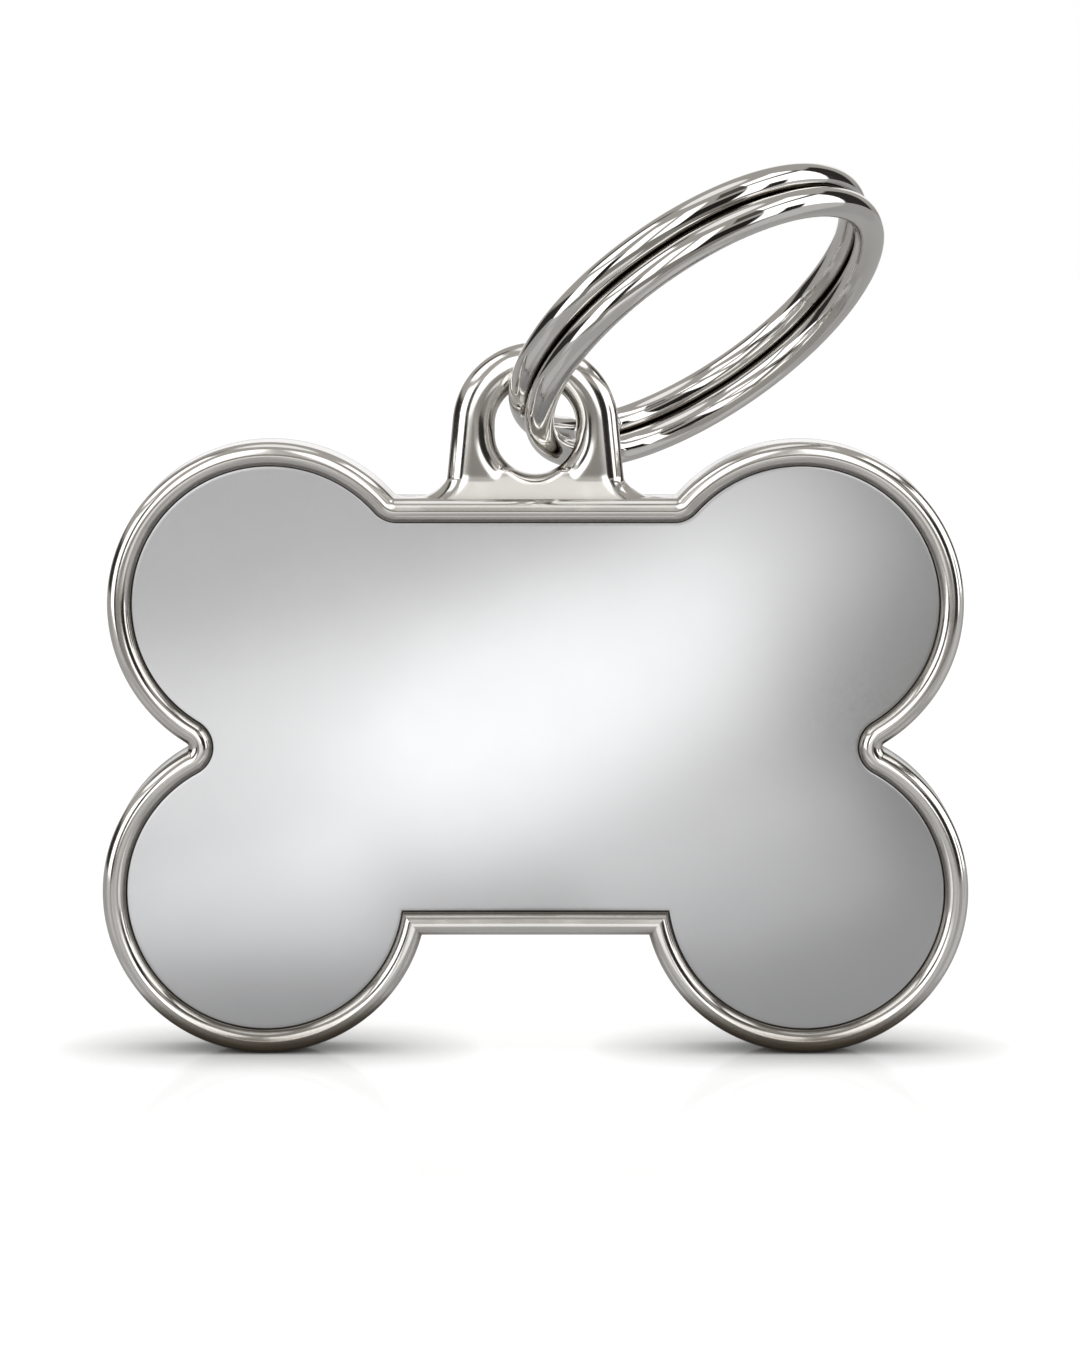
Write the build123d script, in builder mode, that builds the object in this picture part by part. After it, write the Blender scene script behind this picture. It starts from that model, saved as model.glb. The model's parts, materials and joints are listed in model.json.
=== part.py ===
"""Bone-shaped pet tag: a cast frame with an eyelet, a satin face plate and a split ring.

Millimetres, +Z up. The tag stands on its two lower lobes and faces -Y. The origin is on the
surface it stands on, midway across the bone and midway through its thickness.
"""
import os
from math import atan2, cos, degrees, radians, sin, sqrt, tan

from build123d import *

# Bone outline, seen from the front
tag_width = 40.0            # across the lower lobes
upper_width = 39.3          # across the upper lobes
lobe_radius = 7.5
lobe_overlap = 1.6          # how far each lower lobe and the one above it run into each other
top_dip = 2.6               # straight edge under the eyelet, below the tops of the lobes
bottom_edge = 5.55          # height of the straight edge between the lower lobes
notch_rounding = 0.25       # side notches between the lobes
shoulder_rounding = 0.25    # ends of the top edge, the lower ones are sharp mitres

# Casting and inlay, through the thickness
thickness = 3.2
rim_width = 1.08
bead_crown = 0.02           # flat left along the crest of the half-round bead
back_rounding = 0.5
plate_thickness = 0.8
plate_clearance = 0.05      # between the plate's edge and the rim
plate_edge_rounding = 0.1
film_thickness = 0.1
film_margin = 0.4           # the film stops short of the plate's edge

# Eyelet
eye_clearance = 0.48        # hole to the ring's two turns, which pass through it at a slant
eye_stretch = 0.36          # the hole is this much taller than it is wide
eye_rise = 3.28             # top edge to the centre of the arch
arch_wall = 1.95            # radial width of the arch over the hole
leg_draft = 5.5             # degrees that the legs spread
eyelet_thickness = 1.7
eyelet_rounding = 0.7
flare_radius = 1.0          # rounding of the hole's mouth
flare_angle = 50.0          # degrees of that rounding before the mouth runs straight
eye_land = 0.1              # plain band in the throat of the hole
foot_height = 1.15          # cove where the eyelet meets the top edge
foot_spread = 1.6           # how far the cove runs out along the top edge
foot_setback = 0.3          # the cove stops this far behind the bead's crest
foot_sink = 0.1             # depth of the cove's lower end inside the rim
foot_tuck = 0.1             # depth of the cove's upper end inside the legs
foot_curve = 2.4            # how hollow the cove is, 1 is a straight slope
foot_sections = 5

# Split ring
ring_diameter = 19.05       # outside
wire_diameter = 1.35
turn_gap = 0.06             # between the two turns
ring_rise = 34.9            # degrees that the ring leans up to the right
ring_tilt = 26.2            # degrees that its near side is raised
ring_seat = 0.15            # the ring lies this far right of the hole's centre
jog_place = 33.0            # degrees round the ring, from the hole to the step between its turns
jog_span = 18.0
end_gap = 3.0               # degrees from the step to each cut end
turn_arcs = 3               # each turn is drawn as this many equal arcs

# Places that follow from the sizes above
lower_lobe = Vector(tag_width / 2 - lobe_radius, lobe_radius)
upper_lobe = Vector(upper_width / 2 - lobe_radius, 3 * lobe_radius - lobe_overlap)
top_edge = upper_lobe.Y + lobe_radius - top_dip
bead_radius = rim_width / 2 - bead_crown / 2
plate_face = -thickness / 2 + bead_radius
plate_back = plate_face + plate_thickness
tray_floor = plate_back + film_thickness
wire_radius = wire_diameter / 2
ring_radius = ring_diameter / 2 - wire_radius
turn_pitch = wire_diameter + turn_gap
eye_radius = wire_diameter + turn_gap / 2 + eye_clearance
arch_z = top_edge + eye_rise
arch_radius = eye_radius + arch_wall
eye_z = arch_z - eye_stretch / 2


def across(y):
    """Plane that faces the front at depth y, with X to the right and Z up."""
    return Plane.XZ.offset(-y)


# Centres of the small arcs that lie outside the bone, in its notch and on its shoulder
lobe_line = upper_lobe - lower_lobe
notch_reach = lobe_radius + notch_rounding
notch_out = sqrt(notch_reach**2 - (lobe_line.length / 2) ** 2)
notch = (lower_lobe + upper_lobe) / 2 + Vector(lobe_line.Y, -lobe_line.X).normalized() * notch_out
shoulder_reach = lobe_radius + shoulder_rounding
shoulder_rise = top_edge + shoulder_rounding - upper_lobe.Y
shoulder = upper_lobe + Vector(-sqrt(shoulder_reach**2 - shoulder_rise**2), shoulder_rise)


def arc(centre, radius, start, end, clockwise=False):
    """Arc about a centre, from the direction of one point to the direction of another."""
    first = degrees(atan2(start.Y - centre.Y, start.X - centre.X))
    last = degrees(atan2(end.Y - centre.Y, end.X - centre.X))
    CenterArc(centre, radius, first, (last - first) % 360 - (360 if clockwise else 0))


def bone(inset):
    """Bone outline with its edge moved in, as lines and tangent arcs."""
    radius = lobe_radius - inset
    low = bottom_edge + inset
    high = top_edge - inset
    corner = Vector(lower_lobe.X - sqrt(radius**2 - (low - lower_lobe.Y) ** 2), low)
    with BuildSketch() as outline:
        with BuildLine():
            Line((0, low), corner)
            arc(lower_lobe, radius, corner, notch)
            arc(notch, notch_rounding + inset, lower_lobe, upper_lobe, clockwise=True)
            arc(upper_lobe, radius, notch, shoulder)
            arc(shoulder, shoulder_rounding + inset, upper_lobe, Vector(shoulder.X, high), clockwise=True)
            Line((shoulder.X, high), (0, high))
            mirror(about=Plane.YZ)
        make_face()
    return outline.sketch


rim_outline = bone(0)
tray_outline = bone(rim_width)
plate_outline = bone(rim_width + plate_clearance)
film_outline = bone(rim_width + plate_clearance + film_margin)

# Half of the hole's section: a plain throat that flares to both mouths
flare_turn = radians(flare_angle)
flare_x = eye_radius + flare_radius * (1 - cos(flare_turn))
flare_y = eye_land / 2 + flare_radius * sin(flare_turn)
mouth_y = thickness / 2
mouth_x = flare_x + (mouth_y - flare_y) * tan(flare_turn)
with BuildSketch() as eye_half:
    with BuildLine():
        front_mouth = Line((mouth_x, -mouth_y), (flare_x, -flare_y))
        front_lip = TangentArc(front_mouth @ 1, (eye_radius, -eye_land / 2), tangent=front_mouth % 1)
        throat = Line(front_lip @ 1, (eye_radius, eye_land / 2))
        back_lip = TangentArc(throat @ 1, (flare_x, flare_y), tangent=throat % 1)
        back_mouth = Line(back_lip @ 1, (mouth_x, mouth_y))
        Polyline(back_mouth @ 1, (0, mouth_y), (0, -mouth_y), front_mouth @ 0)
    make_face()

# Eyelet before its hole: a rounded arch on drafted legs, standing on a cove
draft = radians(leg_draft)
root_z = top_edge - rim_width / 2
leg_top = (arch_radius * cos(draft), arch_z + arch_radius * sin(draft))
leg_root_x = leg_top[0] + (leg_top[1] - root_z) * tan(draft)
foot_z = top_edge - foot_sink
foot_x = leg_top[0] + (leg_top[1] - top_edge - foot_height) * tan(draft)
foot_y = thickness / 2 - foot_setback
with BuildPart() as eyelet:
    with BuildSketch(across(eyelet_thickness / 2)):
        with BuildLine():
            arch = CenterArc((0, arch_z), arch_radius, leg_draft, 180 - 2 * leg_draft)
            Polyline(arch @ 1, (-leg_root_x, root_z), (leg_root_x, root_z), arch @ 0)
        make_face()
    extrude(amount=eyelet_thickness)
    edges_by_depth = eyelet.edges().group_by(Axis.Y)
    fillet(edges_by_depth[0] + edges_by_depth[-1], eyelet_rounding)
    for section in range(foot_sections):
        rise = section / (foot_sections - 1)
        flare = (1 - rise) ** foot_curve
        half_x = foot_x + foot_spread * flare - foot_tuck * rise
        half_y = eyelet_thickness / 2 + (foot_y - eyelet_thickness / 2) * flare - foot_tuck * rise
        with BuildSketch(Plane.XY.offset(foot_z + (foot_height + foot_sink) * rise)):
            RectangleRounded(2 * half_x, 2 * half_y, eyelet_rounding)
    loft()

# Frame: bone tray with a bead rim, the eyelet and its hole
with BuildPart() as frame:
    with BuildSketch(across(thickness / 2)):
        add(rim_outline)
    extrude(amount=thickness)
    fillet(frame.edges().group_by(Axis.Y)[-1], back_rounding)
    with BuildSketch(across(-thickness / 2)):
        add(tray_outline)
    extrude(amount=-(tray_floor + thickness / 2), mode=Mode.SUBTRACT)
    fillet(frame.edges().group_by(Axis.Y)[0], bead_radius)
    add(eyelet.part)
    for end_z in (arch_z, arch_z - eye_stretch):
        with BuildSketch(Plane.XY.offset(end_z)):
            add(eye_half.sketch)
        revolve(axis=Axis((0, 0, end_z), (0, 1, 0)), mode=Mode.SUBTRACT)
    with BuildSketch(Plane.XY.offset(arch_z - eye_stretch)):
        add(eye_half.sketch)
        mirror(about=Plane.YZ)
    extrude(amount=eye_stretch, mode=Mode.SUBTRACT)
frame.part.label = "frame"

# Face plate, let into the tray
with BuildPart() as face_plate:
    with BuildSketch(across(plate_back)):
        add(plate_outline)
    extrude(amount=plate_thickness)
    fillet(face_plate.edges().group_by(Axis.Y)[0], plate_edge_rounding)
face_plate.part.label = "face_plate"

# Adhesive film between the tray's floor and the plate
with BuildPart() as adhesive_film:
    with BuildSketch(across(tray_floor)):
        add(film_outline)
    extrude(amount=film_thickness)
adhesive_film.part.label = "adhesive_film"

# Split ring: two level turns of one wire, joined by a step behind the eyelet's leg
lean = radians(ring_rise)
tilt = radians(ring_tilt)
ring_out = Vector(cos(lean), 0, sin(lean))
ring_up = Vector(-sin(lean), 0, cos(lean)) * cos(tilt) + Vector(0, 1, 0) * sin(tilt)
ring_centre = Vector(ring_seat, 0, eye_z) + ring_out * ring_radius
arc_size = (360 - jog_span - end_gap) / turn_arcs
upper_start = 180 - jog_place + jog_span / 2
lower_start = upper_start + end_gap
with BuildPart() as split_ring:
    with BuildLine(Plane(ring_centre, x_dir=ring_out, z_dir=ring_up)) as wire:
        lower_turn = [
            CenterArc((0, 0, -turn_pitch / 2), ring_radius, lower_start + k * arc_size, arc_size)
            for k in range(turn_arcs)
        ]
        upper_turn = [
            CenterArc((0, 0, turn_pitch / 2), ring_radius, upper_start + k * arc_size, arc_size)
            for k in range(turn_arcs)
        ]
        # The step is two equal arcs, each tangent to its turn
        leave, leave_way = lower_turn[-1] @ 1, lower_turn[-1] % 1
        meet, meet_way = upper_turn[0] @ 0, upper_turn[0] % 0
        span = meet - leave
        both_ways = leave_way + meet_way
        along = span.dot(both_ways)
        spare = 4 - both_ways.dot(both_ways)
        reach = (sqrt(along**2 + spare * span.dot(span)) - along) / spare
        middle = (leave + leave_way * reach + meet - meet_way * reach) / 2
        middle_way = (meet - meet_way * reach) - (leave + leave_way * reach)
        TangentArc(leave, middle, tangent=leave_way)
        TangentArc(middle, meet, tangent=middle_way.normalized())
    with BuildSketch(Plane(lower_turn[0] @ 0, z_dir=lower_turn[0] % 0)):
        Circle(wire_radius)
    sweep(path=wire.wire())
split_ring.part.label = "split_ring"
least_gap = min(low.distance_to(high) for low in lower_turn for high in upper_turn) - wire_diameter
print(f"Least gap between the ring's turns: {least_gap:.3f} mm")

os.makedirs("parts", exist_ok=True)
for piece in (frame, adhesive_film, face_plate, split_ring):
    export_step(piece.part, f"parts/{piece.part.label}.step")
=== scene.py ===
"""Bone-shaped pet tag in polished plate, with a satin engraving plate and a split ring.

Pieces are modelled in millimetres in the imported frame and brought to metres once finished.
"""
import json
from math import atan2, cos, degrees, pi, radians, sin, sqrt, tan

import bpy
from mathutils import Matrix, Vector

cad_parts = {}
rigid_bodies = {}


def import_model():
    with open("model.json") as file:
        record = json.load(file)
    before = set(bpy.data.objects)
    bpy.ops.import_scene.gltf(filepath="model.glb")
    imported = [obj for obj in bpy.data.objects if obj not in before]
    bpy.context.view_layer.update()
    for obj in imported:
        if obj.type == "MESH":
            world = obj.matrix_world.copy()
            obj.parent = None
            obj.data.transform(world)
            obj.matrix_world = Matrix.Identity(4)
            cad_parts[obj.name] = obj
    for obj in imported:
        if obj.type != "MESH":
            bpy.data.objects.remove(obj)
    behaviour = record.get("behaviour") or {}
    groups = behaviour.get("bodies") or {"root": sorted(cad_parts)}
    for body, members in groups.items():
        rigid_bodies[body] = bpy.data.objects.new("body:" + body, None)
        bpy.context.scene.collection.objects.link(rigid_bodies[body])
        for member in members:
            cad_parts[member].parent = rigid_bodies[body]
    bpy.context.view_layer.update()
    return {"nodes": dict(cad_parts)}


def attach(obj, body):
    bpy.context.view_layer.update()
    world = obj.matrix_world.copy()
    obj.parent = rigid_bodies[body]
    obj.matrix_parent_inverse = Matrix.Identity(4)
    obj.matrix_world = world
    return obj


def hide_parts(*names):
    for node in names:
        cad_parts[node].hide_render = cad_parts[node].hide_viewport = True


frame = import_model()

MM = 0.001

# Bone outline, seen from the front
lobe_radius = 7.5
lower_lobe = Vector((12.5, 0.0, 7.5))
upper_lobe = Vector((12.15, 0.0, 20.9))
top_edge = 25.8
bottom_edge = 5.55
notch_rounding = 0.25
shoulder_rounding = 0.25

# Casting and inlay, through the thickness
thickness = 3.2
rim_width = 1.08
bead_radius = rim_width / 2
back_rounding = 0.5
plate_inset = 1.09
plate_face = -1.07
plate_back = -0.27
plate_edge_rounding = 0.07
tray_floor = -0.17
face_border = 0.12

# Eyelet
eye_radius = 1.86
eye_stretch = 0.36
arch_z = 29.08
arch_radius = 3.81
arch_half_wall = (arch_radius - eye_radius) / 2
leg_draft = 5.5
eyelet_half = 0.85
foot_height = 1.3
foot_corner = 1.2
foot_spread = 1.6
foot_setback = 0.3
foot_sink = 0.2
foot_tuck = 0.1
foot_hollow_side = 2.4
foot_hollow_front = 1.5
foot_lip = 0.35
foot_corner_steps = 6
foot_steps = 14
mouth_spread = 1.1
casting_grain = 0.06
casting_softening = 24

# Split ring
wire_radius = 0.675
ring_radius = 8.85
turn_pitch = 1.41
ring_centre = Vector((7.408, 0.0, 33.963))
ring_out = Vector((0.82015, 0.0, 0.57215))
ring_up = Vector((-0.51337, 0.44151, 0.73589))
lower_start = 159.0
turn_sweep = 339.0
step_sweep = 18.0
step_count = 12
wire_sides = 40
cut_rounding = 0.14

# Steps that the arcs are drawn in
back_steps = 8
bead_steps = 28
plate_edge_steps = 5
mitred_lobe_steps = 57
lower_lobe_steps = 101
notch_steps = 24
upper_lobe_steps = 131
shoulder_steps = 14
arch_section_steps = 32
eye_section_steps = 40
arch_steps = 90
turn_steps = 226
cut_steps = 4

# Degrees that the lower lobe is carried back, which is past its mitre
mitred_lobe_turn = 86

# Centres of the small arcs that lie outside the bone, in its notch and on its shoulder
lobe_line = upper_lobe - lower_lobe
notch_out = sqrt((lobe_radius + notch_rounding) ** 2 - (lobe_line.length / 2) ** 2)
notch = (lower_lobe + upper_lobe) / 2 + Vector((lobe_line.z, 0.0, -lobe_line.x)).normalized() * notch_out
shoulder_rise = top_edge + shoulder_rounding - upper_lobe.z
shoulder_out = sqrt((lobe_radius + shoulder_rounding) ** 2 - shoulder_rise**2)
shoulder = upper_lobe + Vector((-shoulder_out, 0.0, shoulder_rise))


# Drawing and modelling by hand

def open_piece(name):
    """Starts an empty piece in edit mode, with nothing else selected."""
    bpy.ops.object.select_all(action="DESELECT")
    bpy.ops.mesh.primitive_plane_add(size=1.0, location=(0, 0, 0))
    piece = bpy.context.object
    piece.name = name
    bpy.ops.object.mode_set(mode="EDIT")
    bpy.ops.mesh.select_mode(type="VERT")
    bpy.ops.mesh.select_all(action="SELECT")
    bpy.ops.mesh.delete(type="VERT")
    return piece


def pen_down(place):
    """Puts down one selected point to draw on from."""
    bpy.ops.mesh.select_all(action="DESELECT")
    bpy.ops.mesh.primitive_plane_add(size=0.1, location=place)
    bpy.ops.mesh.merge(type="CENTER")


def pen_run(offset):
    """Draws a straight line on from the last point."""
    bpy.ops.mesh.extrude_vertices_move(TRANSFORM_OT_translate={"value": offset})


def run_on(offset):
    """Carries the selected section straight on."""
    bpy.ops.mesh.extrude_region_move(TRANSFORM_OT_translate={"value": offset})


def turn_about(centre, turn, steps, axis=(0, 1, 0)):
    """Carries the selected point or section round a centre. Seen from the front, plus is to the left."""
    bpy.ops.mesh.spin(steps=steps, angle=radians(turn), center=centre, axis=axis)


def heading(centre, point):
    """Direction from a centre to a point, in degrees, seen from the front."""
    return degrees(atan2(point.z - centre.z, point.x - centre.x))


def choose_edges(piece, wanted):
    """Selects the edges whose two ends both pass a test, and nothing else."""
    bpy.ops.mesh.select_all(action="DESELECT")
    bpy.ops.mesh.select_mode(type="EDGE")
    bpy.ops.object.mode_set(mode="OBJECT")
    points = piece.data.vertices
    for edge in piece.data.edges:
        edge.select = all(wanted(points[end].co) for end in edge.vertices)
    bpy.ops.object.mode_set(mode="EDIT")


def close_piece(piece, merge=0.001):
    """Merges doubles, caps what is open, turns the faces outwards and leaves edit mode."""
    bpy.ops.mesh.select_mode(type="VERT")
    bpy.ops.mesh.select_all(action="SELECT")
    bpy.ops.mesh.remove_doubles(threshold=merge)
    bpy.ops.mesh.fill_holes(sides=0)
    bpy.ops.mesh.select_all(action="SELECT")
    bpy.ops.mesh.normals_make_consistent(inside=False)
    bpy.ops.object.mode_set(mode="OBJECT")


def make_active(piece):
    """Selects one piece alone."""
    bpy.ops.object.select_all(action="DESELECT")
    piece.select_set(True)
    bpy.context.view_layer.objects.active = piece


def apply_modifier(piece, kind, **settings):
    """Adds a modifier to a piece with these settings and applies it."""
    make_active(piece)
    bpy.ops.object.modifier_add(type=kind)
    modifier = piece.modifiers[-1]
    for setting, value in settings.items():
        setattr(modifier, setting, value)
    bpy.ops.object.modifier_apply(modifier=modifier.name)


def work_with_tool(piece, tool, operation):
    """Joins a second solid to a piece or cuts it out, and throws the second one away."""
    apply_modifier(piece, "BOOLEAN", object=tool, operation=operation, solver="EXACT")
    bpy.data.objects.remove(tool, do_unlink=True)


def finish_piece(piece, smooth_below):
    """Smooths the shading except at sharp edges and brings the piece from millimetres to metres."""
    make_active(piece)
    piece.scale = (MM, MM, MM)
    bpy.ops.object.transform_apply(location=False, rotation=False, scale=True)
    bpy.ops.object.shade_smooth_by_angle(angle=radians(smooth_below))


# Bone frame and plate, carried round the outline as sections

def rim_section(place):
    """Rim in section: back rounding, outer wall, half-round bead and the wall of the tray."""
    x, z = place
    pen_down((x, thickness / 2, z + back_rounding))
    turn_about((x, thickness / 2 - back_rounding, z + back_rounding), 90, back_steps, axis=(1, 0, 0))
    pen_run((0, back_rounding + bead_radius - thickness, 0))
    turn_about((x, bead_radius - thickness / 2, z + bead_radius), 180, bead_steps, axis=(1, 0, 0))
    pen_run((0, tray_floor + thickness / 2 - bead_radius, 0))
    bpy.ops.mesh.select_linked()


def plate_section(place):
    """Edge of the plate in section: a plain wall that is rounded over to the face."""
    x, z = place
    pen_down((x, plate_back, z))
    pen_run((0, plate_face + plate_edge_rounding - plate_back, 0))
    turn_centre = (x, plate_face + plate_edge_rounding, z + plate_edge_rounding)
    turn_about(turn_centre, 90, plate_edge_steps, axis=(1, 0, 0))
    bpy.ops.mesh.select_linked()


def mitre_corner(inset):
    """Where the straight lower edge, moved in, meets the lower lobe."""
    low = bottom_edge + inset
    reach = sqrt((lobe_radius - inset) ** 2 - (low - lower_lobe.z) ** 2)
    return Vector((lower_lobe.x - reach, 0.0, low))


def carry_round_bone(piece, section, inset, merge):
    """Carries a section round the right half of the bone, mirrors it and closes the two faces."""
    corner = mitre_corner(0)
    along = mitre_corner(rim_width) - corner
    mitre = Vector((along.z, 0.0, -along.x)).normalized()
    # Straight edge between the lower lobes
    section((0, bottom_edge + inset))
    run_on((lower_lobe.x / 2 + 1, 0, 0))
    bpy.ops.mesh.select_linked()
    bpy.ops.mesh.bisect(plane_co=corner, plane_no=mitre, clear_outer=True, threshold=1e-5)
    # Lower lobe, back to the mitre
    section((lower_lobe.x, inset))
    turn_about(lower_lobe, -mitred_lobe_turn, mitred_lobe_steps)
    bpy.ops.mesh.select_linked()
    bpy.ops.mesh.bisect(plane_co=corner, plane_no=mitre, clear_inner=True, threshold=1e-5)
    # Lower lobe and on to the middle of the top
    section((lower_lobe.x, inset))
    notch_turn = (heading(notch, upper_lobe) - heading(notch, lower_lobe)) % 360 - 360
    upper_turn = (heading(upper_lobe, shoulder) - heading(upper_lobe, notch)) % 360
    turn_about(lower_lobe, heading(lower_lobe, notch) + 90, lower_lobe_steps)
    turn_about(notch, notch_turn, notch_steps)
    turn_about(upper_lobe, upper_turn, upper_lobe_steps)
    turn_about(shoulder, -90 - heading(shoulder, upper_lobe), shoulder_steps)
    run_on((-shoulder.x, 0, 0))
    bpy.ops.mesh.select_all(action="SELECT")
    bpy.ops.mesh.remove_doubles(threshold=merge)
    bpy.ops.object.mode_set(mode="OBJECT")
    apply_modifier(piece, "MIRROR", merge_threshold=0.001)
    bpy.ops.object.mode_set(mode="EDIT")
    close_piece(piece)
    # A narrow flat border keeps the two faces flat inside their rounded edges
    bpy.ops.object.mode_set(mode="EDIT")
    bpy.ops.mesh.select_mode(type="FACE")
    bpy.ops.mesh.select_all(action="DESELECT")
    bpy.ops.mesh.select_face_by_sides(number=4, type="GREATER")
    bpy.ops.mesh.inset(thickness=face_border)
    # The two mitres stay crisp
    choose_edges(piece, lambda point: on_mitre(point, corner, mitre, along.length + 0.1))
    bpy.ops.mesh.mark_sharp()
    bpy.ops.object.mode_set(mode="OBJECT")


def on_mitre(point, corner, mitre, reach):
    """Whether a point lies on one of the two mitre planes, near its corner."""
    offset = Vector((abs(point.x), 0.0, point.z)) - corner
    return abs(offset.dot(mitre)) < 0.02 and offset.length < reach


def model_bone():
    """Tray of the bone with its bead rim."""
    bone = open_piece("tag_frame")
    carry_round_bone(bone, rim_section, 0.0, merge=0.03)
    return bone


def model_face_plate():
    """Engraving plate, let into the tray."""
    plate = open_piece("engraving_plate")
    carry_round_bone(plate, plate_section, plate_inset, merge=0.02)
    finish_piece(plate, 35)
    return plate


# Eyelet

def arch_root():
    """Where the outer edge of the right leg starts and where it runs into the arch."""
    draft = radians(leg_draft)
    root_z = top_edge - rim_width / 2
    top_x = arch_radius * cos(draft)
    top_z = arch_z + arch_radius * sin(draft)
    root_x = top_x + (top_z - root_z) * tan(draft)
    return Vector((root_x, 0, root_z)), Vector((top_x, 0, top_z))


def model_arch():
    """Arch on drafted legs, rounded over from the crest of its front to the crest of its back."""
    root, top = arch_root()
    arch = open_piece("eyelet_arch")
    crest = root - Vector((arch_half_wall, 0, 0))
    pen_down(crest + Vector((0, eyelet_half, 0)))
    turn_about(crest, 180, arch_section_steps, axis=(0, 0, 1))
    bpy.ops.mesh.select_linked()
    bpy.ops.transform.resize(value=(arch_half_wall / eyelet_half, 1, 1), center_override=crest)
    run_on(top - root)
    turn_about((0, 0, arch_z), 180 - 2 * leg_draft, arch_steps)
    run_on((top.x - root.x, 0, root.z - top.z))
    for face in (-eyelet_half, eyelet_half):
        choose_edges(arch, lambda point: abs(point.y - face) < 0.001)
        bpy.ops.mesh.edge_face_add()
    close_piece(arch)
    return arch


def model_cove():
    """Hollow foot under the arch, spreading along the top of the rim."""
    top = arch_root()[1]
    foot_z = top_edge - foot_sink
    foot_x = top.x + (top.z - top_edge - foot_height) * tan(radians(leg_draft))
    foot_y = thickness / 2 - foot_setback
    halves = []
    for step in range(foot_steps + 1):
        rise = step / foot_steps
        half_x = foot_x + foot_spread * (1 - rise) ** foot_hollow_side - foot_tuck * rise
        spread_y = (foot_y - eyelet_half) * (1 - rise) ** foot_hollow_front
        halves.append((half_x, eyelet_half + spread_y - foot_tuck * rise))
    cove = open_piece("eyelet_cove")
    bpy.ops.mesh.primitive_plane_add(size=2.0, location=(0, 0, foot_z))
    bpy.ops.transform.resize(value=(*halves[0], 1), center_override=(0, 0, foot_z))
    bpy.ops.mesh.bevel(offset=foot_corner, segments=foot_corner_steps, affect="VERTICES")
    lift = (foot_height + foot_sink) / foot_steps
    for step in range(foot_steps):
        run_on((0, 0, lift))
        shrink_x = halves[step + 1][0] / halves[step][0]
        shrink_y = halves[step + 1][1] / halves[step][1]
        level = foot_z + (step + 1) * lift
        bpy.ops.transform.resize(value=(shrink_x, shrink_y, 1), center_override=(0, 0, level))
    close_piece(cove)
    return cove


def model_eye_cutter(lip):
    """Solid of the hole: a rounded lip that opens to both mouths, drawn out upwards."""
    low_z = arch_z - eye_stretch
    crest = Vector((eye_radius + lip, 0, arch_z))
    cutter = open_piece("eye_cutter")
    pen_down(crest + Vector((0, -eyelet_half, 0)))
    turn_about(crest, 180, eye_section_steps, axis=(0, 0, 1))
    bpy.ops.mesh.select_linked()
    bpy.ops.transform.resize(value=(lip / eyelet_half, 1, 1), center_override=crest)
    turn_about((0, 0, arch_z), 180, arch_steps)
    run_on((0, 0, -eye_stretch))
    turn_about((0, 0, low_z), 180, arch_steps)
    run_on((0, 0, eye_stretch))
    # The mouths run on clear of the cove
    bpy.ops.mesh.select_all(action="SELECT")
    bpy.ops.mesh.remove_doubles(threshold=0.001)
    for side in (-1, 1):
        choose_edges(cutter, lambda point: abs(point.y - side * eyelet_half) < 0.001)
        run_on((0, side * eyelet_half, 0))
        middle = (0, side * 2 * eyelet_half, arch_z - eye_stretch / 2)
        bpy.ops.transform.resize(value=(mouth_spread, 1, mouth_spread), center_override=middle)
    close_piece(cutter)
    return cutter


def model_eyelet():
    """Eyelet as one casting: the hole has a wide lip through the arch and a narrow one through the cove."""
    eyelet = model_arch()
    work_with_tool(eyelet, model_eye_cutter(arch_half_wall), "DIFFERENCE")
    cove = model_cove()
    work_with_tool(cove, model_eye_cutter(foot_lip), "DIFFERENCE")
    work_with_tool(eyelet, cove, "UNION")
    apply_modifier(eyelet, "REMESH", mode="VOXEL", voxel_size=casting_grain)
    apply_modifier(eyelet, "SMOOTH", factor=0.5, iterations=casting_softening)
    return eyelet


def model_tag_frame():
    """Whole casting: the bone with its eyelet."""
    tag_frame = model_bone()
    work_with_tool(tag_frame, model_eyelet(), "UNION")
    finish_piece(tag_frame, 40)
    return tag_frame


# Split ring

def model_split_ring():
    """Two level turns of one wire, joined by a step, with blunt cut ends."""
    ring_side = ring_up.cross(ring_out)
    start = radians(lower_start)
    outward = ring_out * cos(start) + ring_side * sin(start)
    forward = ring_up.cross(outward)
    place = ring_centre + outward * ring_radius - ring_up * (turn_pitch / 2)
    facing = Matrix((outward, ring_up, -forward)).transposed().to_euler()
    ring = open_piece("ring_of_wire")
    bpy.ops.mesh.primitive_circle_add(
        vertices=wire_sides, radius=wire_radius, location=place, rotation=facing
    )
    axis = -ring_up
    turn_about(ring_centre, turn_sweep, turn_steps, axis=axis)
    risen = 0.0
    for step in range(step_count):
        share = (step + 1) / step_count
        level = turn_pitch * share * share * (3 - 2 * share)
        turn_about(ring_centre, step_sweep / step_count, 1, axis=axis)
        bpy.ops.transform.translate(value=ring_up * (level - risen))
        risen = level
    turn_about(ring_centre, turn_sweep, turn_steps, axis=axis)
    close_piece(ring)
    # Cut ends, with the burr taken off
    bpy.ops.object.mode_set(mode="EDIT")
    bpy.ops.mesh.select_mode(type="FACE")
    bpy.ops.mesh.select_all(action="DESELECT")
    bpy.ops.mesh.select_face_by_sides(number=4, type="GREATER")
    bpy.ops.mesh.region_to_loop()
    bpy.ops.mesh.bevel(offset=cut_rounding, segments=cut_steps, affect="EDGES")
    bpy.ops.object.mode_set(mode="OBJECT")
    finish_piece(ring, 40)
    return ring


tag_frame = model_tag_frame()
engraving_plate = model_face_plate()
ring_of_wire = model_split_ring()


# Materials

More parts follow.
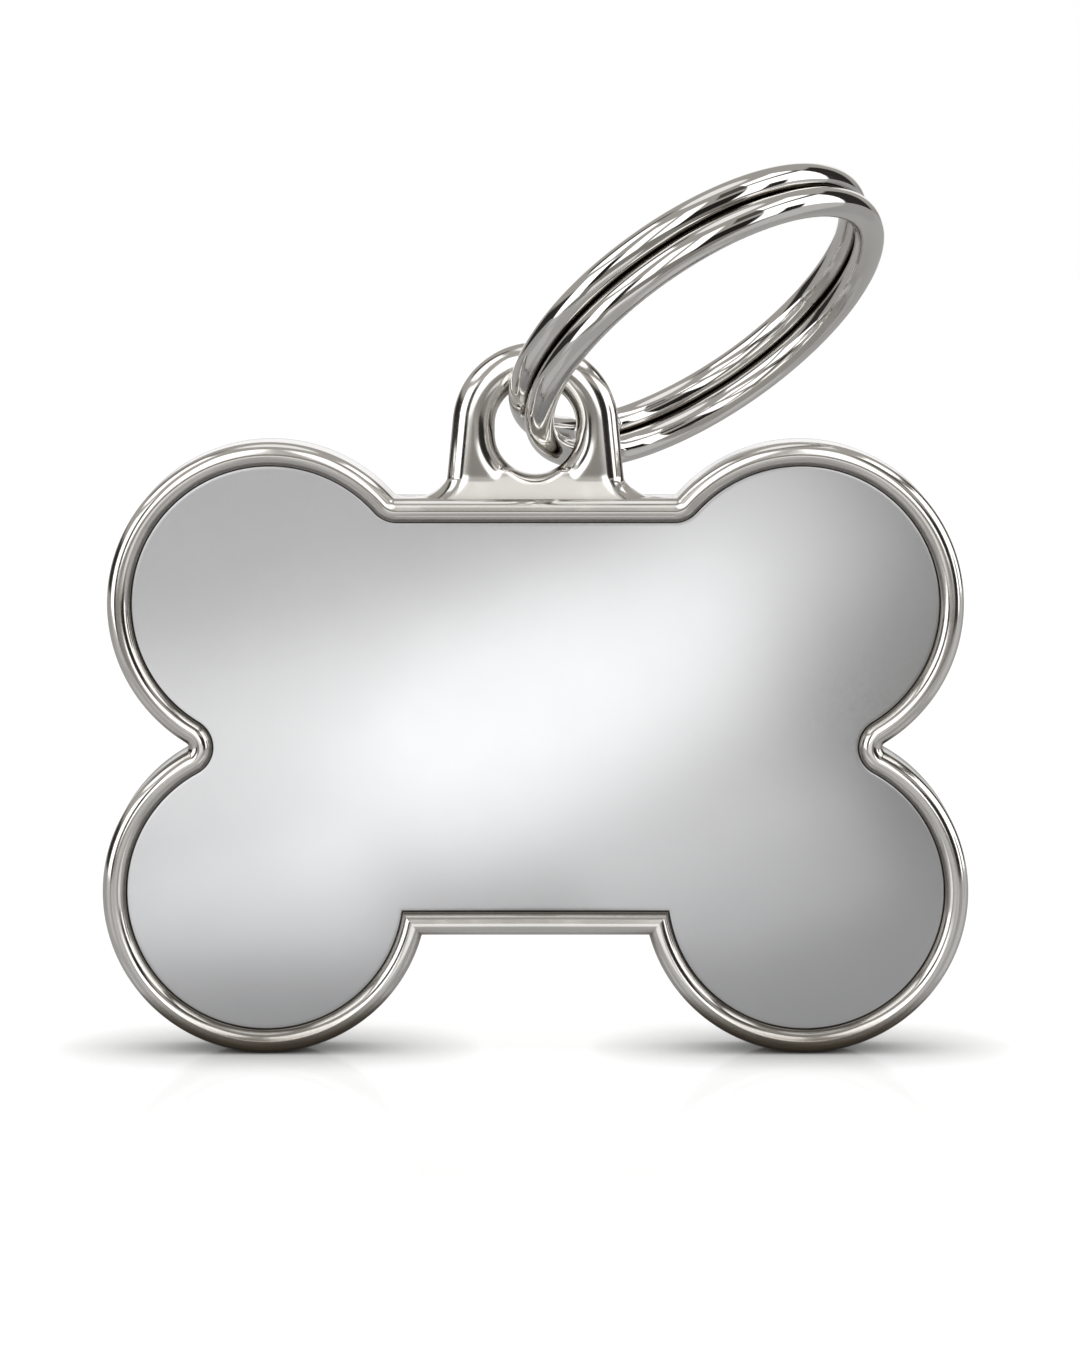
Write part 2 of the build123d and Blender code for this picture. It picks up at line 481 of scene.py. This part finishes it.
# Painted brown shade of the plating in its recesses: how near a neighbour makes a recess, in millimetres,
# and how steeply it darkens
shade_brown = (0.14, 0.115, 0.085)
eyelet_recess = 0.7
groove_recess = 3.0
wire_recess = 0.3
open_shade_power = 3.0
groove_shade_power = 7.0
nearby_samples = 5

# Painted shade is kept lighter on the eyelet, within this half width and above this height, each with a
# soft border
lighter_shade_half_width = (5.5, 7.0)
lighter_shade_height = (25.2, 25.6)


def start_material(name):
    """New material with a Principled shader, its nodes and its links."""
    material = bpy.data.materials.new(name)
    material.use_nodes = True
    nodes = material.node_tree.nodes
    return material, nodes, material.node_tree.links, nodes["Principled BSDF"]


def polish_group():
    """Hand polish: cloudy haze and a slow ripple, as a roughness, a height and a tint mask."""
    group = bpy.data.node_groups.new("hand_polish", "ShaderNodeTree")
    for name, default in (("Gloss", 0.05), ("Haze", 0.05), ("Cloud size", 500.0), ("Ripple size", 420.0)):
        socket = group.interface.new_socket(name, in_out="INPUT", socket_type="NodeSocketFloat")
        socket.default_value = default
    for name in ("Roughness", "Height", "Tint"):
        group.interface.new_socket(name, in_out="OUTPUT", socket_type="NodeSocketFloat")
    nodes, links = group.nodes, group.links
    given = nodes.new("NodeGroupInput")
    result = nodes.new("NodeGroupOutput")
    place = nodes.new("ShaderNodeTexCoord")
    clouds = nodes.new("ShaderNodeTexNoise")
    clouds.inputs["Detail"].default_value = 5.0
    links.new(place.outputs["Object"], clouds.inputs["Vector"])
    links.new(given.outputs["Cloud size"], clouds.inputs["Scale"])
    haze = nodes.new("ShaderNodeMapRange")
    haze.interpolation_type = "SMOOTHSTEP"
    haze.inputs["From Min"].default_value = 0.45
    haze.inputs["From Max"].default_value = 0.75
    links.new(clouds.outputs["Fac"], haze.inputs["Value"])
    rough = nodes.new("ShaderNodeMath")
    rough.operation = "MULTIPLY_ADD"
    links.new(haze.outputs["Result"], rough.inputs[0])
    links.new(given.outputs["Haze"], rough.inputs[1])
    links.new(given.outputs["Gloss"], rough.inputs[2])
    links.new(rough.outputs["Value"], result.inputs["Roughness"])
    ripple = nodes.new("ShaderNodeTexNoise")
    ripple.inputs["Detail"].default_value = 1.0
    links.new(place.outputs["Object"], ripple.inputs["Vector"])
    links.new(given.outputs["Ripple size"], ripple.inputs["Scale"])
    links.new(ripple.outputs["Fac"], result.inputs["Height"])
    links.new(clouds.outputs["Fac"], result.inputs["Tint"])
    return group


hand_polish = polish_group()


def plated_metal(name, bright, dull, gloss, haze, ripple, recess, own_recess):
    """Polished plate over metal, a little cloudy and not quite flat, with painted brown shade in its
    recesses.
    """
    material, nodes, links, shader = start_material(name)
    polish = nodes.new("ShaderNodeGroup")
    polish.node_tree = hand_polish
    polish.inputs["Gloss"].default_value = gloss
    polish.inputs["Haze"].default_value = haze
    tint = nodes.new("ShaderNodeMix")
    tint.data_type = "RGBA"
    tint.inputs["A"].default_value = (*dull, 1.0)
    tint.inputs["B"].default_value = (*bright, 1.0)
    links.new(polish.outputs["Tint"], tint.inputs["Factor"])
    # Painted shade: the colour browns where ambient occlusion finds neighbours close, in recesses and
    # between parts
    open_air = nodes.new("ShaderNodeAmbientOcclusion")
    open_air.name = "open_air"
    open_air.only_local = own_recess
    open_air.samples = nearby_samples
    open_air.inputs["Distance"].default_value = recess * MM
    shade_curve = nodes.new("ShaderNodeMath")
    shade_curve.name = "shade_curve"
    shade_curve.operation = "POWER"
    shade_curve.inputs[1].default_value = open_shade_power
    links.new(open_air.outputs["AO"], shade_curve.inputs[0])
    painted_shade = nodes.new("ShaderNodeMix")
    painted_shade.data_type = "RGBA"
    painted_shade.inputs["A"].default_value = (*shade_brown, 1.0)
    links.new(shade_curve.outputs["Value"], painted_shade.inputs["Factor"])
    links.new(tint.outputs["Result"], painted_shade.inputs["B"])
    links.new(painted_shade.outputs["Result"], shader.inputs["Base Color"])
    links.new(polish.outputs["Roughness"], shader.inputs["Roughness"])
    bump = nodes.new("ShaderNodeBump")
    bump.inputs["Strength"].default_value = 1.0
    bump.inputs["Distance"].default_value = ripple * MM
    links.new(polish.outputs["Height"], bump.inputs["Height"])
    links.new(bump.outputs["Normal"], shader.inputs["Normal"])
    shader.inputs["Metallic"].default_value = 1.0
    return material


def deepen_groove_shade(material):
    """Makes the painted shade deeper in the groove beside the plate than on the eyelet, where it stays
    lighter.
    """
    nodes, links = material.node_tree.nodes, material.node_tree.links
    place = nodes.new("ShaderNodeTexCoord")
    parts = nodes.new("ShaderNodeSeparateXYZ")
    links.new(place.outputs["Object"], parts.inputs["Vector"])
    across = nodes.new("ShaderNodeMath")
    across.operation = "ABSOLUTE"
    links.new(parts.outputs["X"], across.inputs[0])
    beside = nodes.new("ShaderNodeMapRange")
    beside.interpolation_type = "SMOOTHSTEP"
    beside.inputs["From Min"].default_value = lighter_shade_half_width[0] * MM
    beside.inputs["From Max"].default_value = lighter_shade_half_width[1] * MM
    links.new(across.outputs["Value"], beside.inputs["Value"])
    below = nodes.new("ShaderNodeMapRange")
    below.interpolation_type = "SMOOTHSTEP"
    below.inputs["From Min"].default_value = lighter_shade_height[1] * MM
    below.inputs["From Max"].default_value = lighter_shade_height[0] * MM
    links.new(parts.outputs["Z"], below.inputs["Value"])
    groove = nodes.new("ShaderNodeMath")
    groove.operation = "MAXIMUM"
    links.new(beside.outputs["Result"], groove.inputs[0])
    links.new(below.outputs["Result"], groove.inputs[1])
    for low, high, socket in (
        (eyelet_recess * MM, groove_recess * MM, nodes["open_air"].inputs["Distance"]),
        (open_shade_power, groove_shade_power, nodes["shade_curve"].inputs[1]),
    ):
        depth = nodes.new("ShaderNodeMapRange")
        depth.inputs["To Min"].default_value = low
        depth.inputs["To Max"].default_value = high
        links.new(groove.outputs["Value"], depth.inputs["Value"])
        links.new(depth.outputs["Result"], socket)


def satin_metal():
    """Satin plate: even fine grain with soft clouds in it."""
    material, nodes, links, shader = start_material("satin_plate")
    place = nodes.new("ShaderNodeTexCoord")
    grain = nodes.new("ShaderNodeTexNoise")
    grain.inputs["Scale"].default_value = 9000.0
    grain.inputs["Detail"].default_value = 3.0
    links.new(place.outputs["Object"], grain.inputs["Vector"])
    clouds = nodes.new("ShaderNodeTexNoise")
    clouds.inputs["Scale"].default_value = 160.0
    clouds.inputs["Detail"].default_value = 4.0
    links.new(place.outputs["Object"], clouds.inputs["Vector"])
    tint = nodes.new("ShaderNodeMix")
    tint.data_type = "RGBA"
    tint.inputs["A"].default_value = (0.475, 0.48, 0.49, 1.0)
    tint.inputs["B"].default_value = (0.535, 0.54, 0.55, 1.0)
    links.new(clouds.outputs["Fac"], tint.inputs["Factor"])
    links.new(tint.outputs["Result"], shader.inputs["Base Color"])
    rough = nodes.new("ShaderNodeMapRange")
    rough.inputs["To Min"].default_value = 0.19
    rough.inputs["To Max"].default_value = 0.25
    links.new(grain.outputs["Fac"], rough.inputs["Value"])
    links.new(rough.outputs["Result"], shader.inputs["Roughness"])
    bump = nodes.new("ShaderNodeBump")
    bump.inputs["Strength"].default_value = 0.03
    bump.inputs["Distance"].default_value = 0.00002
    links.new(grain.outputs["Fac"], bump.inputs["Height"])
    links.new(bump.outputs["Normal"], shader.inputs["Normal"])
    shader.inputs["Metallic"].default_value = 1.0
    return material


def film_material():
    """Clear adhesive film, faintly cloudy, between the tray and the plate."""
    material, nodes, links, shader = start_material("adhesive_film")
    place = nodes.new("ShaderNodeTexCoord")
    clouds = nodes.new("ShaderNodeTexNoise")
    clouds.inputs["Scale"].default_value = 700.0
    links.new(place.outputs["Object"], clouds.inputs["Vector"])
    tint = nodes.new("ShaderNodeMix")
    tint.data_type = "RGBA"
    tint.inputs["A"].default_value = (0.78, 0.75, 0.66, 1.0)
    tint.inputs["B"].default_value = (0.86, 0.84, 0.79, 1.0)
    links.new(clouds.outputs["Fac"], tint.inputs["Factor"])
    links.new(tint.outputs["Result"], shader.inputs["Base Color"])
    shader.inputs["Roughness"].default_value = 0.45
    return material


def dress(piece, material):
    """Gives a piece one material all over."""
    piece.data.materials.clear()
    piece.data.materials.append(material)


casting_plate = plated_metal(
    "polished_casting",
    bright=(0.86, 0.845, 0.815),
    dull=(0.80, 0.78, 0.75),
    gloss=0.12,
    haze=0.04,
    ripple=0.004,
    recess=eyelet_recess,
    own_recess=False,
)
wire_plate = plated_metal(
    "ring_wire",
    bright=(0.86, 0.85, 0.83),
    dull=(0.77, 0.755, 0.73),
    gloss=0.045,
    haze=0.05,
    ripple=0.003,
    recess=wire_recess,
    own_recess=True,
)
# Painted shade runs deeper in the groove beside the plate than on the eyelet
deepen_groove_shade(casting_plate)
dress(tag_frame, casting_plate)
dress(engraving_plate, satin_metal())
dress(ring_of_wire, wire_plate)
film = film_material()
for slot in frame["nodes"]["adhesive_film"].material_slots:
    slot.material = film

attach(tag_frame, "tag")
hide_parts("frame")
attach(engraving_plate, "tag")
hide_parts("face_plate")
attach(ring_of_wire, "ring")
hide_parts("split_ring")


# Studio

floor_size = (1.2, 0.756)
floor_place = (0, 0.322, -0.00001)
floor_grey = (0.45, 0.45, 0.45)
floor_white = 0.8
floor_in_metal = 0.1
shadow_reach = 5.0
shadow_depth = 1.8
shadow_samples = 6
floor_sheen = 0.13
sheen_blur = 0.08


def white_floor():
    """Pale floor that stops short in front of the tag, white to the camera and dimmer in the metal."""
    bpy.ops.object.select_all(action="DESELECT")
    bpy.ops.mesh.primitive_plane_add(size=1.0, location=(0, 0, 0))
    floor = bpy.context.object
    floor.name = "studio_floor"
    bpy.ops.object.mode_set(mode="EDIT")
    bpy.ops.transform.resize(value=(*floor_size, 1.0), center_override=(0, 0, 0))
    bpy.ops.transform.translate(value=floor_place)
    bpy.ops.object.mode_set(mode="OBJECT")
    material = bpy.data.materials.new("studio_floor")
    material.use_nodes = True
    nodes, links = material.node_tree.nodes, material.node_tree.links
    nodes.clear()
    matt = nodes.new("ShaderNodeBsdfDiffuse")
    matt.inputs["Color"].default_value = (*floor_grey, 1.0)
    rays = nodes.new("ShaderNodeLightPath")
    mirrored = nodes.new("ShaderNodeMath")
    mirrored.operation = "MAXIMUM"
    links.new(rays.outputs["Is Glossy Ray"], mirrored.inputs[0])
    links.new(rays.outputs["Is Transmission Ray"], mirrored.inputs[1])
    dimmed = nodes.new("ShaderNodeMath")
    dimmed.operation = "MULTIPLY"
    dimmed.inputs[1].default_value = floor_in_metal
    links.new(mirrored.outputs["Value"], dimmed.inputs[0])
    seen = nodes.new("ShaderNodeMath")
    seen.operation = "MULTIPLY_ADD"
    seen.inputs[1].default_value = floor_white
    links.new(rays.outputs["Is Camera Ray"], seen.inputs[0])
    links.new(dimmed.outputs["Value"], seen.inputs[2])
    # Painted contact shadow: the white dies away close to where the tag stands
    nearby = nodes.new("ShaderNodeAmbientOcclusion")
    nearby.samples = shadow_samples
    nearby.inputs["Distance"].default_value = shadow_reach * MM
    hidden = nodes.new("ShaderNodeMath")
    hidden.operation = "POWER"
    hidden.inputs[1].default_value = shadow_depth
    links.new(nearby.outputs["AO"], hidden.inputs[0])
    left = nodes.new("ShaderNodeMath")
    left.operation = "MULTIPLY"
    links.new(seen.outputs["Value"], left.inputs[0])
    links.new(hidden.outputs["Value"], left.inputs[1])
    white = nodes.new("ShaderNodeEmission")
    white.inputs["Color"].default_value = (1.0, 1.0, 1.0, 1.0)
    links.new(left.outputs["Value"], white.inputs["Strength"])
    whiten = nodes.new("ShaderNodeAddShader")
    links.new(matt.outputs["BSDF"], whiten.inputs[0])
    links.new(white.outputs["Emission"], whiten.inputs[1])
    sheen = nodes.new("ShaderNodeBsdfGlossy")
    sheen.inputs["Roughness"].default_value = sheen_blur
    polish = nodes.new("ShaderNodeMixShader")
    polish.inputs["Fac"].default_value = floor_sheen
    links.new(whiten.outputs["Shader"], polish.inputs[1])
    links.new(sheen.outputs["BSDF"], polish.inputs[2])
    surface = nodes.new("ShaderNodeOutputMaterial")
    links.new(polish.outputs["Shader"], surface.inputs["Surface"])
    dress(floor, material)


def panel_group():
    """Soft-edged panel of light, given by its heading and height seen from the tag."""
    group = bpy.data.node_groups.new("soft_panel", "ShaderNodeTree")
    seen_from_tag = ("Heading", "Height", "Level before")
    of_panel = ("Turn", "Rise", "Half width", "Half height", "Fade", "Level")
    for name in seen_from_tag + of_panel:
        group.interface.new_socket(name, in_out="INPUT", socket_type="NodeSocketFloat")
    group.interface.new_socket("Level after", in_out="OUTPUT", socket_type="NodeSocketFloat")
    nodes, links = group.nodes, group.links
    given = nodes.new("NodeGroupInput")
    result = nodes.new("NodeGroupOutput")
    covers = []
    for angle, middle, half in (("Heading", "Turn", "Half width"), ("Height", "Rise", "Half height")):
        away = nodes.new("ShaderNodeMath")
        away.operation = "SUBTRACT"
        links.new(given.outputs[angle], away.inputs[0])
        links.new(given.outputs[middle], away.inputs[1])
        apart = nodes.new("ShaderNodeMath")
        apart.operation = "ABSOLUTE"
        links.new(away.outputs["Value"], apart.inputs[0])
        outer = nodes.new("ShaderNodeMath")
        outer.operation = "ADD"
        links.new(given.outputs[half], outer.inputs[0])
        links.new(given.outputs["Fade"], outer.inputs[1])
        cover = nodes.new("ShaderNodeMapRange")
        cover.interpolation_type = "SMOOTHSTEP"
        cover.inputs["To Min"].default_value = 1.0
        cover.inputs["To Max"].default_value = 0.0
        links.new(apart.outputs["Value"], cover.inputs["Value"])
        links.new(given.outputs[half], cover.inputs["From Min"])
        links.new(outer.outputs["Value"], cover.inputs["From Max"])
        covers.append(cover)
    both = nodes.new("ShaderNodeMath")
    both.operation = "MULTIPLY"
    links.new(covers[0].outputs["Result"], both.inputs[0])
    links.new(covers[1].outputs["Result"], both.inputs[1])
    blend = nodes.new("ShaderNodeMix")
    blend.data_type = "FLOAT"
    links.new(both.outputs["Value"], blend.inputs["Factor"])
    links.new(given.outputs["Level before"], blend.inputs["A"])
    links.new(given.outputs["Level"], blend.inputs["B"])
    links.new(blend.outputs["Result"], result.inputs["Level after"])
    return group


# Panels of the studio, each over the ones before it. Degrees: heading to the right of the camera's
# side, height, half width, half height and fade. Then the level.
studio_panels = (
    ("upper_room", 0, 55, 180, 45, 10, 0.4),
    ("front_low", 0, -50, 100, 44, 10, 0.24),
    ("dark_left", -106, -12, 26, 26, 5, 0.03),
    ("dark_right", 124, 8, 12, 30, 3, 0.03),
    ("back_wall_left", -180, 8, 20, 14, 5, 1.0),
    ("back_wall_right", 180, 8, 20, 14, 5, 1.0),
    ("overhead", 0, 90, 180, 15, 3, 1.0),
    ("front_left", -16.5, 22, 10, 22, 4, 1.7),
    ("front_right", 13.5, 22, 8, 22, 4, 1.7),
    ("left_strip", -60, 4, 16, 20, 2, 1.7),
    ("left_high", -78, 47, 20, 14, 3, 1.5),
    ("right_wall", 84, 26, 26, 34, 2, 1.7),
    ("right_post", 78, -6, 5, 16, 2, 0.02),
    ("right_beam", 84, 42, 30, 2.5, 2, 0.15),
    ("left_bar", -35.5, 4, 7, 14, 2, 0.02),
    ("right_bar", 40, 4, 15, 14, 2, 0.02),
    ("dark_high_left", -112, 50, 8, 16, 3, 0.05),
    ("dark_high_right", 45, 42, 10, 10, 3, 0.08),
)
studio_base = 0.32


def light_studio():
    """World of soft panels round the tag, white to the camera. Metal sees its white wall behind."""
    world = bpy.data.worlds.new("studio")
    bpy.context.scene.world = world
    world.use_nodes = True
    nodes, links = world.node_tree.nodes, world.node_tree.links
    nodes.clear()
    group = panel_group()
    place = nodes.new("ShaderNodeTexCoord")
    parts = nodes.new("ShaderNodeSeparateXYZ")
    links.new(place.outputs["Generated"], parts.inputs["Vector"])
    ahead = nodes.new("ShaderNodeMath")
    ahead.operation = "MULTIPLY"
    ahead.inputs[1].default_value = -1.0
    links.new(parts.outputs["Y"], ahead.inputs[0])
    heading_round = nodes.new("ShaderNodeMath")
    heading_round.operation = "ARCTAN2"
    links.new(parts.outputs["X"], heading_round.inputs[0])
    links.new(ahead.outputs["Value"], heading_round.inputs[1])
    height_up = nodes.new("ShaderNodeMath")
    height_up.operation = "ARCSINE"
    links.new(parts.outputs["Z"], height_up.inputs[0])
    last = None
    for name, turn, rise, half_width, half_height, fade, bright in studio_panels:
        panel = nodes.new("ShaderNodeGroup")
        panel.node_tree = group
        panel.label = name
        panel.inputs["Turn"].default_value = radians(turn)
        panel.inputs["Rise"].default_value = radians(rise)
        panel.inputs["Half width"].default_value = radians(half_width)
        panel.inputs["Half height"].default_value = radians(half_height)
        panel.inputs["Fade"].default_value = radians(fade)
        panel.inputs["Level"].default_value = bright
        links.new(heading_round.outputs["Value"], panel.inputs["Heading"])
        links.new(height_up.outputs["Value"], panel.inputs["Height"])
        if last is None:
            panel.inputs["Level before"].default_value = studio_base
        else:
            links.new(last, panel.inputs["Level before"])
        last = panel.outputs["Level after"]
    # The dim parts of the room are warmer than the panels
    warmth = nodes.new("ShaderNodeMix")
    warmth.data_type = "RGBA"
    warmth.inputs["A"].default_value = (1.0, 0.93, 0.85, 1.0)
    warmth.inputs["B"].default_value = (1.0, 1.0, 1.0, 1.0)
    links.new(last, warmth.inputs["Factor"])
    room = nodes.new("ShaderNodeBackground")
    links.new(warmth.outputs["Result"], room.inputs["Color"])
    links.new(last, room.inputs["Strength"])
    white = nodes.new("ShaderNodeBackground")
    white.inputs["Color"].default_value = (1.0, 1.0, 1.0, 1.0)
    rays = nodes.new("ShaderNodeLightPath")
    direct = nodes.new("ShaderNodeMath")
    direct.operation = "MAXIMUM"
    links.new(rays.outputs["Is Camera Ray"], direct.inputs[0])
    links.new(rays.outputs["Is Transmission Ray"], direct.inputs[1])
    mix = nodes.new("ShaderNodeMixShader")
    links.new(direct.outputs["Value"], mix.inputs["Fac"])
    links.new(room.outputs["Background"], mix.inputs[1])
    links.new(white.outputs["Background"], mix.inputs[2])
    surface = nodes.new("ShaderNodeOutputWorld")
    links.new(mix.outputs["Shader"], surface.inputs["Surface"])


def lit_alone(name, *pieces):
    """Set of pieces that a lamp shines on and nothing else."""
    lit = bpy.data.collections.new(name)
    for piece in pieces:
        lit.objects.link(piece)
    return lit


def hang_lamp(name, place, size, roll, level, lit):
    """Rectangular lamp in front of the tag, in millimetres, turned to it, of a given brightness."""
    lamp = bpy.data.lights.new(name, "AREA")
    lamp.shape = "RECTANGLE"
    lamp.size = size[0] * MM
    lamp.size_y = size[1] * MM
    lamp.energy = level * pi * lamp.size * lamp.size_y
    holder = bpy.data.objects.new(name, lamp)
    bpy.context.scene.collection.objects.link(holder)
    turned = Matrix.Rotation(pi / 2, 4, "X") @ Matrix.Rotation(radians(roll), 4, "Z")
    holder.matrix_world = Matrix.Translation(Vector(place) * MM) @ turned
    holder.visible_camera = False
    holder.light_linking.receiver_collection = lit


white_floor()
light_studio()

# Lamps: place, size, roll and level. Those for the plate stand in planes of their own, because lamps in
# one plane hide one another.
lit_plate = lit_alone("lit_plate", engraving_plate)
hang_lamp("plate_band", (3.84, -51.0, 11.79), (32.34, 12.12), 38.98, 1.01, lit_plate)
hang_lamp("plate_wash", (-9.7, -51.4, 6.04), (48.11, 16.05), 11.43, 0.83, lit_plate)
hang_lamp("left_fill", (-21.75, -51.8, 14.54), (34.02, 34.99), -35.23, 0.41, lit_plate)
hang_lamp("low_left", (-17.09, -24.0, 1.18), (18.96, 7.83), 13.3, 0.59, lit_plate)
hang_lamp("low_right", (10.18, -24.4, 3.98), (15.38, 7.13), 20.56, 0.37, lit_plate)
lit_plating = lit_alone("lit_plating", tag_frame, ring_of_wire)
hang_lamp("bead_fill", (0.0, -60.0, 4.0), (44.0, 14.0), 0.0, 0.6, lit_plating)
lit_frame = lit_alone("lit_frame", tag_frame)
hang_lamp("edge_glow", (0.0, -15.0, 2.6), (16.0, 4.6), 0.0, 0.5, lit_frame)
hang_lamp("top_glow", (0.0, -12.0, 37.0), (16.0, 10.0), 0.0, 0.35, lit_frame)


# Camera, at the photograph's angle

camera_distance = 225.0
camera_height = radians(7.5)
camera_lens = 129.99
camera_sensor = 36.0
aim_point = Vector((0.208, 0.0, 17.52))
view = bpy.data.cameras.new("view")
view.sensor_fit = "VERTICAL"
view.sensor_width = camera_sensor
view.sensor_height = camera_sensor
view.lens = camera_lens
view.clip_start = 0.01
view.clip_end = 20.0
camera = bpy.data.objects.new("view", view)
bpy.context.scene.collection.objects.link(camera)
camera.location = (aim_point + Vector((0, -cos(camera_height), sin(camera_height))) * camera_distance) * MM
camera.rotation_euler = (pi / 2 - camera_height, 0, 0)
bpy.context.scene.camera = camera
bpy.context.scene.view_settings.view_transform = "Standard"
